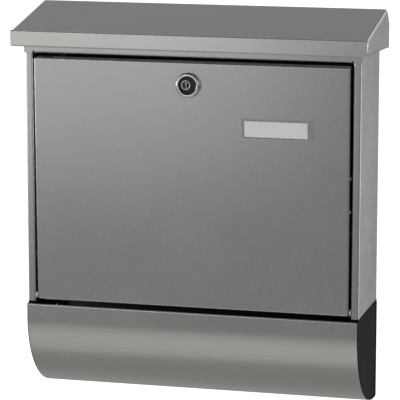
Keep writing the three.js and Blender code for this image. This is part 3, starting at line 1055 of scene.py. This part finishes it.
@dataclass
class NewspaperTray:
    """The curved sheet under the box and the moulded piece in each of its ends."""

    datum: Datum
    paint: Paintbox
    front: float = -4.2
    rim: float = -4.6
    shoulder: float = -20.0
    foot: float = -107.6
    centre: float = 96.0
    depth: float = 101.6
    hem: float = 2.2
    top: float = -2.45
    wall: float = 3.0
    rim_thickness: float = 0.8
    plug_depth: float = 10.0
    screw_backs: tuple[float, float] = (28.0, 82.0)
    screw_side: float = 169.5

    def curve(self, inset: float, steps: int = 40) -> list[Bend]:
        """Follow the tray's curve from the shoulder down and under.

        Args:
            inset: Distance inside the outer face.
            steps: Number of steps.

        Returns:
            Points down the curve.
        """
        wide = self.centre - self.front - inset
        high = self.shoulder - self.foot - inset
        angles = [math.pi / 2 * i / steps for i in range(steps + 1)]
        return [
            self.datum.at(self.centre - wide * math.cos(t), self.shoulder - high * math.sin(t), 0)
            for t in angles
        ]

    def sheet(self) -> bpy.types.Object:
        """Roll the tray's sheet, with a hem along its rim.

        Returns:
            The sheet.
        """
        at = self.datum
        hem, face = self.front + 0.5 + self.hem, self.front + 0.5
        rear = self.depth - 1.55
        path = [
            at.at(hem, self.rim - 5.0), at.at(hem, self.rim - 0.5, 1.1),
            at.at(face, self.rim - 0.5, 1.1), *self.curve(0.5),
            at.at(rear, self.foot + 0.5), at.at(rear, self.foot + 13.0),
        ]
        low, high = corners_of("newspaper_tray")
        body = softened(folded_sheet(fold(path), Axis.X, low.x, high.x), 0.15)
        home = Fitting(Body.HOUSING, ("newspaper_tray",), Slot.STEEL)
        return home.place(body, "tray_sheet", self.paint.across)

    def outline(self, inset: float, top: float, rear: float | None = None) -> list[Point]:
        """Outline the inside of the tray.

        Args:
            inset: Distance inside the room that the sheet leaves.
            top: Height of the outline's upper edge.
            rear: How far back it reaches above the sheet's rear flange, if further.

        Returns:
            The outline.
        """
        flat = self.datum.flat
        clear = self.front + 1.3 + inset
        flange = self.depth - 2.4 - inset
        points = [
            flat(clear + self.hem, top), flat(clear + self.hem, self.rim - 6 - inset),
            flat(clear, self.rim - 7.5 - inset),
            *((bend.a, bend.b) for bend in self.curve(1.3 + inset)),
            flat(flange, self.foot + 1.3 + inset),
        ]
        if rear is not None:
            points += [flat(flange, self.foot + 13.3), flat(rear, self.foot + 13.3)]
        return [*points, flat(rear if rear is not None else flange, top)]

    def rim_outline(self) -> list[Point]:
        """Outline the rim that covers the edge of the sheet.

        Returns:
            Its corners and the points of its curve.
        """
        flat = self.datum.flat
        rear = self.depth - 0.1
        curve = [(bend.a, bend.b) for bend in self.curve(0.0)]
        return [
            flat(self.front, self.rim), *curve, flat(rear, self.foot), flat(rear, self.rim),
        ]

    def end(self, node: str, name: str, s: int, lug: float, closed: bool) -> bpy.types.Object:
        """Mould an end piece.

        Args:
            node: The node that it stands for.
            name: Name of the piece.
            s: Its sign along X.
            lug: How far the solid top that takes the screws reaches down.
            closed: Whether its outside is a closed wall.

        Returns:
            The end piece.
        """
        low, high = corners_of(node)
        outer = high.x if s > 0 else low.x
        inner = outer - s * self.plug_depth
        rim = plate(self.rim_outline(), Axis.X, outer, outer - s * self.rim_thickness)
        rim = softened(rim, 0.35, 3)
        rear = self.depth - 0.1
        blocks = [
            plate(self.outline(0, self.top, rear), Axis.X, outer - s * 0.4, outer - s * 2.6),
            plate(self.outline(0, self.top, rear - 1.3), Axis.X, outer - s * 2.5, inner),
        ]
        start = outer - s * self.wall if closed else outer + s
        hollow = plate(self.outline(self.wall, self.top - lug), Axis.X, start, inner - s)
        cuts = [hollow]
        if closed:
            panel = self.outline(1.6, self.top - 3.0)
            cuts.append(plate(panel, Axis.X, outer + s, outer - s * 0.45))
        for back in self.screw_backs:
            centre = Vector((s * self.screw_side, self.datum.front + back, 0))
            top = self.datum.foot + self.top
            cuts.append(round_bar(centre, 2.2, Axis.Z, top - 4.4, top + 2, 32))
        home = Fitting(Body.HOUSING, (node,), Slot.BLACK)
        return home.place(shaped(rim, blocks, cuts), name, self.paint.black)

    def build(self) -> list[bpy.types.Object]:
        """Build and dress the tray.

        Returns:
            The pieces.
        """
        return [
            self.sheet(),
            self.end("tray_end_cap", "tray_cap_right", 1, 6.0, True),
            self.end("tray_end_ring", "tray_ring_left", -1, 18.0, False),
        ]


@dataclass
class Lid:
    """The sloping lid: a roof with a folded lip in front and a flange down each side."""

    datum: Datum
    paint: Paintbox
    half: float = 184.9
    overhang: float = 20.2
    lip_foot: float = 267.4
    fold: float = 283.6
    ridge_back: float = 90.0
    ridge_up: float = 304.0
    rear_back: float = 101.4
    rear_up: float = 290.7
    hem: float = 2.2
    side_radius: float = 3.0
    flange_front: float = -14.7
    flange_feet: tuple[float, float] = (268.0, 263.2)

    def roof_level(self, back: float) -> float:
        """Give the height of the roof's middle line.

        Args:
            back: Distance behind the housing's front.

        Returns:
            Height above the door's foot.
        """
        start, run = -self.overhang + 0.5, self.ridge_back - 0.15
        rise = self.ridge_up - 0.5 - (self.fold - 0.5)
        return self.fold - 0.5 + (back - start) * rise / (run - start)

    def lip(self) -> bmesh.types.BMesh:
        """Fold the lip, with a hem inside its lower edge.

        Returns:
            The closed mesh.
        """
        at = self.datum
        face, seam = -self.overhang + 0.5, -self.overhang + 3.0
        path = [
            at.at(face + self.hem, self.lip_foot + 4.0),
            at.at(face + self.hem, self.lip_foot + 0.5, 1.1),
            at.at(face, self.lip_foot + 0.5, 1.1),
            at.at(face, self.fold - 0.5, 1.0),
            at.at(seam, self.roof_level(seam), 0),
        ]
        radius = 2.5

        def reach(point: Point) -> float:
            """Give the lip's half length, shorter where its lower corners are round.

            Args:
                point: Place along the fold, seen from the side.

            Returns:
                Distance from the middle.
            """
            up = min(radius, max(0.0, point[1] - at.foot - self.lip_foot))
            return self.half - radius + math.sqrt(radius**2 - (radius - up) ** 2)

        sheet = folded_sheet(fold(path), Axis.X, lambda p: -reach(p), reach)
        return softened(sheet, 0.15)

    def roof(self) -> bmesh.types.BMesh:
        """Form the roof and its side flanges from one sheet.

        Returns:
            The closed mesh.
        """
        at = self.datum
        backs = (-self.overhang + 3.0, self.flange_front - 0.02, self.flange_front)
        line = fold([
            *(at.at(back, self.roof_level(back), 0) for back in backs),
            at.at(self.ridge_back - 0.15, self.ridge_up - 0.5, 2.0),
            at.at(self.rear_back - 0.38, self.rear_up - 0.33, 0),
        ])
        front_foot, rear_foot = self.flange_feet

        def chain(point: Point, inset: float) -> list[Vector]:
            """Run across the sheet from one flange's foot to the other's.

            Args:
                point: Place on the roof's line, seen from the side.
                inset: Distance inside the outer face.

            Returns:
                Points from left to right.
            """
            back = point[0] - at.front
            radius, half = self.side_radius - inset, self.half - inset
            level = point[1] - radius
            share = (back + self.overhang) / (self.depth_behind + self.overhang)
            foot = at.foot + front_foot + (rear_foot - front_foot) * share
            if back < self.flange_front - 0.01:
                foot = level - 0.02
            arc = [math.pi / 2 * k / 8 for k in range(9)]
            right = [(half - radius + radius * math.cos(t), level + radius * math.sin(t))
                     for t in arc]
            edge = [(half, foot), *right]
            return [Vector((-x, point[0], z)) for x, z in edge] + [
                Vector((x, point[0], z)) for x, z in reversed(edge)]

        loops = [
            chain(outer, 0.0) + chain(inner, 1.0)[::-1]
            for outer, inner in zip(line.outer, line.inner)
        ]
        return softened(lofted(loops, hollow=True), 0.15)

    @property
    def depth_behind(self) -> float:
        """Distance of the lid's rear edge behind the front."""
        return self.rear_back - 0.3

    def build(self) -> list[bpy.types.Object]:
        """Build and dress the lid.

        Returns:
            The lid's sheet.
        """
        home = Fitting(Body.LID, ("lid_panel",), Slot.STEEL)
        lip = self.lip()
        # The lip's faces take the lighter copy of the lid's steel, which is painted light.
        for facet in lip.faces:
            facet.material_index = 1
        sheet = together(self.roof(), lip)
        return [home.place(sheet, "lid_sheet", self.paint.roof, self.paint.lip)]


@dataclass
class Door:
    """The door's folded pan, drawn about its pivot and then leaned."""

    paint: Paintbox
    matrix: Matrix
    face: float
    half: float = 165.2
    low: float = -3.6
    height: float = 255.0
    flange: float = 11.0
    edge_radius: float = 2.0
    corner_radius: float = 2.4
    lock_x: float = -1.0
    lock_up: float = 228.4
    rivets_up: tuple[float, float] = (104.0, 138.0)
    proud_at_foot: float = 1.0

    def loop(self, inset: float, y: float) -> list[Vector]:
        """Give the pan's outline at one depth.

        Args:
            inset: Distance inside the pan's outer edge.
            y: Its depth.

        Returns:
            Points round the outline.
        """
        radius = max(self.corner_radius - inset, 0.3)
        half_height = self.height / 2
        centre = self.low + half_height
        points = []
        for quarter, (sx, sz) in enumerate(((1, 1), (-1, 1), (-1, -1), (1, -1))):
            x = sx * (self.half - inset - radius)
            z = centre + sz * (half_height - inset - radius)
            for k in range(7):
                angle = math.pi / 2 * (quarter + k / 6)
                points.append(
                    Vector((x + radius * math.cos(angle), y, z + radius * math.sin(angle)))
                )
        return points

    def build(self) -> list[bpy.types.Object]:
        """Build and dress the door's pan.

        Returns:
            The door's sheet.
        """
        big = self.edge_radius
        small = big - 1.0
        rear = self.face + self.flange
        arc = [math.pi / 2 * k / 8 for k in range(9)]
        outer = [(big * (1 - math.sin(t)), self.face + big * (1 - math.cos(t))) for t in arc]
        inner = [(big - small * math.sin(t), self.face + big - small * math.cos(t)) for t in arc]
        profile = [*outer, (0.0, rear - 0.15), (0.15, rear), (0.85, rear), (1.0, rear - 0.15),
                   *reversed(inner)]
        pan = lofted([self.loop(inset, y) for inset, y in profile])
        lock = Vector((self.lock_x, 0, self.lock_up))
        holes = [round_bar(lock, 9.3, Axis.Y, self.face - 2, self.face + 3, 64)]
        for s in (-1, 1):
            holes.append(round_bar(Vector(), 2.3, Axis.X, s * 158, s * 170, 32))
        for up in self.rivets_up:
            holes.append(round_bar(Vector((0, 0, up)), 1.8, Axis.X, 158, 170, 32))
        home = Fitting(Body.DOOR, ("door_panel",), Slot.STEEL, self.matrix)
        return [home.place(shaped(pan, removed=holes), "door_sheet", self.paint.upright)]


@dataclass
class Lock:
    """The cam lock: chromed ring, threaded body with a black face, and plug."""

    paint: Paintbox
    door: Door
    body_radius: float = 9.0
    body_proud: float = 2.6
    body_behind: float = 14.0
    flat_half: float = 8.0
    plug_x: float = -3.3
    plug_radius: float = 5.0
    pitch: float = 1.0

    def ring(self) -> bpy.types.Object:
        """Turn the chromed ring.

        Returns:
            The ring.
        """
        foot, lip = self.door.face - 0.3, self.door.face - 5.2
        profile = [
            Bend(9.3, foot, 0.15), Bend(9.3, lip, 0.9), Bend(11.5, lip, 1.5),
            Bend(13.0, lip + 2.6, 1.6), Bend(13.0, foot, 0.25),
        ]
        centre = Vector((self.door.lock_x, 0, self.door.lock_up))
        ring = turned(profile, centre, Axis.Y, closed=True, sides=96)
        home = Fitting(Body.DOOR, ("lock_bezel",), Slot.CHROME, self.door.matrix)
        return home.place(ring, "lock_ring", self.paint.chrome)

    def barrel(self) -> bpy.types.Object:
        """Turn the body, thread it, mill its flats and bore it.

        Returns:
            The body.
        """
        front = self.door.face - self.body_proud
        rear = self.door.face + self.body_behind
        radius = self.body_radius
        profile = [
            Bend(0, front, 0), Bend(7.9, front, 0.2), Bend(8.3, front - 0.25, 0.15),
            Bend(radius, front - 0.25, 0.3), Bend(radius, self.door.face + 2.0, 0),
        ]
        place = self.door.face + 2.0
        while place + self.pitch < rear - 0.5:
            profile.append(Bend(radius - 0.45, place + self.pitch / 2, 0))
            profile.append(Bend(radius, place + self.pitch, 0))
            place += self.pitch
        profile += [Bend(radius - 0.6, rear, 0), Bend(0, rear, 0)]
        x, up = self.door.lock_x, self.door.lock_up
        barrel = turned(profile, Vector((x, 0, up)), Axis.Y)
        bore = round_bar(Vector((self.plug_x, 0, up)), 5.15, Axis.Y, front - 2, rear + 2, 64)
        flats = []
        for s in (-1, 1):
            start, stop = x + s * self.flat_half, x + s * 20
            outline = [(start, up - 20), (stop, up - 20), (stop, up + 20), (start, up + 20)]
            flats.append(plate(outline, Axis.Y, self.door.face + 1.3, rear + 1))
        barrel = shaped(barrel, removed=[bore, *flats])
        for facet in barrel.faces:
            facet.material_index = int(facet.calc_center_median().y < self.door.face)
        home = Fitting(Body.DOOR, ("lock_body",), Slot.ZINC, self.door.matrix)
        return home.place(barrel, "lock_barrel", self.paint.zinc, self.paint.face_black)

    def plug(self) -> bpy.types.Object:
        """Turn the plug, with a rim round its dished face, and cut its keyway.

        Returns:
            The plug.
        """
        front = self.door.face - self.body_proud + 0.2
        rear = self.door.face + self.body_behind
        tip = rear + 2.3
        profile = [
            Bend(0, front + 0.9, 0), Bend(3.9, front + 0.9, 0.3), Bend(4.2, front, 0.15),
            Bend(4.75, front, 0.2), Bend(5.0, front + 0.5, 0.15), Bend(5.0, rear, 0),
            Bend(3.0, rear, 0), Bend(3.0, tip, 0), Bend(0, tip, 0),
        ]
        up = self.door.lock_up
        centre = Vector((self.plug_x, 0, up))
        x = self.plug_x
        slot = [
            (x - 0.75, up - 3.3), (x + 0.75, up - 3.3), (x + 0.75, up - 0.6),
            (x + 0.25, up - 0.2), (x + 0.75, up + 0.4), (x + 1.5, up + 2.4), (x - 1.5, up + 2.4),
            (x - 0.75, up + 0.4),
        ]
        keyway = plate(slot, Axis.Y, front - 1, front + 9)
        thread = round_bar(centre, 1.65, Axis.Y, tip - 8, tip + 1, 32)
        plug = shaped(turned(profile, centre, Axis.Y), removed=[keyway, thread])
        for facet in plug.faces:
            middle = facet.calc_center_median()
            away = math.hypot(middle.x - x, middle.z - up)
            facet.material_index = int(away < 3.7 and middle.y < front + 1.2)
        home = Fitting(Body.LOCK, ("lock_plug",), Slot.CHROME, self.door.matrix)
        return home.place(plug, "lock_core", self.paint.chrome, self.paint.face_black)

    def build(self) -> list[bpy.types.Object]:
        """Build and dress the lock's visible pieces."""
        return [self.ring(), self.barrel(), self.plug()]


@dataclass
class NameHolder:
    """A clear two-part holder with a blank card in it."""

    paint: Paintbox
    door: Door
    x: float = 90.0
    up: float = 185.9
    width: float = 74.0
    height: float = 20.2
    card_width: float = 65.0
    card_height: float = 16.0

    def slab(self, width: float, height: float, radius: float, start: float, end: float,
             shift: float = 0.0) -> bmesh.types.BMesh:
        """Make a slab with rounded corners about the holder's middle.

        Args:
            width: Size along X.
            height: Size upwards.
            radius: Radius of the corners.
            start: Front face.
            end: Rear face.
            shift: How far it's moved left and down.

        Returns:
            The closed mesh.
        """
        corners = [(-1, -1), (1, -1), (1, 1), (-1, 1)]
        outline = rounded_corners([
            Bend(self.x - shift + sx * width / 2, self.up - shift + sz * height / 2, radius)
            for sx, sz in corners
        ])
        return plate(outline, Axis.Y, start, end)

    def build(self) -> list[bpy.types.Object]:
        """Build and dress the holder and its card.

        Returns:
            The pieces.
        """
        back = self.door.face - 0.3
        rear = back - 1.3
        base = softened(self.slab(self.width, self.height, 0.8, back - 1.0, back), 0.2)
        painted_shadow_well = self.slab(self.card_width, self.card_height, 0.5, back - 2.0, back - 0.5, 1.1)
        base = shaped(base, removed=[painted_shadow_well])
        # The well's floor takes the black face material and shows as a thin line at the card's left
        # and lower edges: a painted shadow.
        for facet in base.faces:
            spot = facet.calc_center_median()
            inside = abs(spot.z - self.up) < self.height / 2 - 0.5 and abs(spot.x - self.x) < 36.0
            facet.material_index = int(inside and back - 0.9 < spot.y < back - 0.1)
        card = softened(self.slab(self.card_width, self.card_height, 0.5, rear - 0.4, rear), 0.05)
        cover = softened(self.slab(self.width, self.height, 0.8, rear - 1.9, rear), 0.5, 3)
        pocket = self.slab(self.card_width + 0.6, self.card_height + 0.6, 0.5, rear - 0.7, rear + 1)
        cover = shaped(cover, removed=[pocket])
        parts = [
            (base, "nameplate_base", "name_holder_base", Slot.CLEAR,
             (self.paint.clear, self.paint.face_black)),
            (card, "name_card", "name_blank_card", Slot.PAPER, (self.paint.card,)),
            (cover, "nameplate_cover", "name_holder_cover", Slot.CLEAR, (self.paint.clear,)),
        ]
        return [
            Fitting(Body.DOOR, (node,), slot, self.door.matrix).place(mesh, name, *materials)
            for mesh, node, name, slot, materials in parts
        ]


@dataclass
class PlainParts:
    """The pieces whose shape needs nothing more than a finish."""

    paint: Paintbox
    rubber_nodes: tuple[str, ...] = ("lid_bumper_left", "lid_bumper_right")
    zinc_nodes: tuple[str, ...] = ("lock_nut",)
    bright_nodes: tuple[str, ...] = ("door_stay", "stay_rivet_lower", "stay_rivet_upper")
    # These nodes take the darkest steel, which is painted shade.
    painted_shade_nodes: tuple[str, ...] = ("back_panel", "letter_guard")

    def build(self) -> list[bpy.types.Object]:
        """Give every other node its finish, most of them a darkened steel that is painted shade.

        Returns:
            The nodes.
        """
        dressed = []
        for name, node in frame["nodes"].items():
            if node.hide_render:
                continue
            # Every other node takes the darkened steel, whose low grey is painted shade.
            finish = self.paint.inner
            if name in self.rubber_nodes:
                finish = self.paint.rubber
            elif name in self.zinc_nodes:
                finish = self.paint.zinc
            elif name in self.bright_nodes:
                finish = self.paint.upright
            elif name in self.painted_shade_nodes:
                finish = self.paint.shaded
            for slot in node.material_slots:
                slot.link = "OBJECT"
                slot.material = finish
            dressed.append(node)
        return dressed


# The studio


@dataclass(frozen=True)
class Softbox:
    """A square area light."""

    name: str
    place: tuple[float, float, float]
    size: float
    power: float
    colour: tuple[float, float, float] = (1.0, 1.0, 1.0)
    target: tuple[float, float, float] = (0.0, -0.08, 0.0)

    def build(self) -> bpy.types.Object:
        """Hang the light and aim it.

        Returns:
            The light.
        """
        data = bpy.data.lights.new(self.name, "AREA")
        data.shape = "SQUARE"
        data.size = self.size
        data.energy = self.power
        data.color = self.colour
        light = bpy.data.objects.new(self.name, data)
        light.location = self.place
        aim = Vector(self.target) - Vector(self.place)
        light.rotation_euler = aim.to_track_quat("-Z", "Y").to_euler()
        light.visible_camera = False
        bpy.context.scene.collection.objects.link(light)
        return light


@dataclass
class Studio:
    """Camera, pale floor, surroundings and soft lights."""

    aim: tuple[float, float, float] = (0.0095, -0.1, -0.027)
    turn: float = math.radians(14.6)
    drop: float = math.radians(10.6)
    distance: float = 2.48
    lens: float = 218.7
    floor_level: float = -1.4
    floor_half: float = 20.0
    # Greys of the room that the steel mirrors, at rises of -1, -0.6, -0.2, 0.2 and 0.6.
    ground: float = 0.3
    low: float = 0.4
    level: float = 0.15
    band: float = 0.6
    top: float = 0.18
    low_tint: tuple[float, float, float] = (1.01, 1.0, 0.97)
    high_tint: tuple[float, float, float] = (1.0, 1.0, 1.03)
    lights: tuple[Softbox, ...] = (
        Softbox("front", (-0.6, -1.5, 0.1), 0.8, 1.1),
        Softbox("side", (1.1, 0.8, 0.3), 1.4, 3.0),
        Softbox("side_low", (1.0, 0.9, -0.4), 0.8, 3.0),
        Softbox("low", (-0.2, -0.8, -0.8), 0.8, 0.4),
        Softbox("glint_left", (-1.6, -0.7, 0.0), 0.5, 4.0),
        Softbox("glint_above", (-0.7, -1.3, 1.0), 0.15, 0.5),
        Softbox("glint_right", (0.9, -1.4, 0.1), 0.15, 0.4),
    )

    def camera(self) -> bpy.types.Object:
        """Set up the camera.

        Returns:
            The camera.
        """
        data = bpy.data.cameras.new("camera")
        data.lens = self.lens
        data.sensor_width = 36.0
        data.clip_end = 100.0
        camera = bpy.data.objects.new("camera", data)
        level = math.cos(self.drop)
        back = Vector((math.sin(self.turn) * level, -math.cos(self.turn) * level,
                       math.sin(self.drop)))
        camera.location = Vector(self.aim) + self.distance * back
        camera.rotation_euler = (-back).to_track_quat("-Z", "Y").to_euler()
        bpy.context.scene.collection.objects.link(camera)
        bpy.context.scene.camera = camera
        return camera

    def floor(self) -> bpy.types.Object:
        """Lay the pale floor, which throws nothing back on the steel.

        Returns:
            The floor.
        """
        recipe = Recipe("pale_floor")
        recipe.set(Base_Color=(0.9, 0.9, 0.9, 1.0), Roughness=0.9)
        recipe.set(Emission_Color=(1.0, 1.0, 1.0, 1.0), Emission_Strength=1.0)
        mesh = bpy.data.meshes.new("floor")
        bm = bmesh.new()
        half = self.floor_half
        corners = ((-half, -half), (half, -half), (half, half), (-half, half))
        bm.faces.new([bm.verts.new((x, y, self.floor_level)) for x, y in corners])
        bm.to_mesh(mesh)
        bm.free()
        mesh.materials.append(recipe.material)
        floor = bpy.data.objects.new("floor", mesh)
        floor.visible_glossy = False
        floor.visible_diffuse = False
        floor.visible_shadow = False
        bpy.context.scene.collection.objects.link(floor)
        return floor

    def surroundings(self) -> bpy.types.World:
        """Make a white backdrop, and a grey room for the steel to mirror.

        Returns:
            The world.
        """
        world = bpy.data.worlds.new("studio")
        world.use_nodes = True
        tree = world.node_tree
        tree.nodes.clear()
        place = tree.nodes.new("ShaderNodeTexCoord")
        parts = tree.nodes.new("ShaderNodeSeparateXYZ")
        tree.links.new(place.outputs["Generated"], parts.inputs["Vector"])
        height = tree.nodes.new("ShaderNodeMapRange")
        height.inputs["From Min"].default_value = -1.0
        tree.links.new(parts.outputs["Z"], height.inputs["Value"])
        ramp = tree.nodes.new("ShaderNodeValToRGB")
        stops = ramp.color_ramp.elements
        stops.remove(stops[1])
        room = ((-1.0, self.ground), (-0.6, self.low), (-0.2, self.level), (0.2, self.band),
                (0.6, self.top))
        for rise, grey in room:
            stop = stops.new((rise + 1.0) / 2.0)
            tint = self.low_tint if rise < 0.0 else self.high_tint
            stop.color = (*(grey * part for part in tint), 1.0)
        stops.remove(stops[0])
        tree.links.new(height.outputs["Result"], ramp.inputs["Fac"])
        walls = tree.nodes.new("ShaderNodeBackground")
        tree.links.new(ramp.outputs["Color"], walls.inputs["Color"])
        backdrop = tree.nodes.new("ShaderNodeBackground")
        backdrop.inputs["Color"].default_value = (1.0, 1.0, 1.0, 1.0)
        direct = tree.nodes.new("ShaderNodeLightPath")
        choose = tree.nodes.new("ShaderNodeMixShader")
        tree.links.new(direct.outputs["Is Camera Ray"], choose.inputs["Fac"])
        tree.links.new(walls.outputs["Background"], choose.inputs[1])
        tree.links.new(backdrop.outputs["Background"], choose.inputs[2])
        output = tree.nodes.new("ShaderNodeOutputWorld")
        tree.links.new(choose.outputs["Shader"], output.inputs["Surface"])
        bpy.context.scene.world = world
        return world

    def build(self) -> list[bpy.types.Object]:
        """Set up the whole studio.

        Returns:
            Camera, floor and lights.
        """
        bpy.context.scene.view_settings.view_transform = "Standard"
        self.surroundings()
        return [self.camera(), self.floor(), *(light.build() for light in self.lights)]


def main() -> None:
    """Build every part of the mailbox and the studio, and log each piece's name."""
    logging.basicConfig(level=logging.INFO, format="%(name)s: %(message)s")
    low, _ = corners_of("side_panel_left")
    datum = Datum(low.y, low.z - Housing.floor)
    pivot = Vector(joint_named("door_drop")["pos_m"]) / MM
    axis = Vector(joint_named("lock_turn")["axis"])
    lean = math.atan2(axis.z, axis.y)
    leaned = Matrix.Translation(pivot) @ Matrix.Rotation(lean, 4, "X")
    face = -(Housing.pin_back + Door.proud_at_foot + Housing.pin_up * math.tan(lean))
    paint = Paintbox()
    door = Door(paint, leaned, face)
    parts = [
        Studio(), Housing(datum, paint), NewspaperTray(datum, paint), Lid(datum, paint),
        door, Lock(paint, door), NameHolder(paint, door), PlainParts(paint),
    ]
    for part in parts:
        for piece in part.build():
            log.info("%s: %s", type(part).__name__, piece.name)


if __name__ == "__main__":
    main()
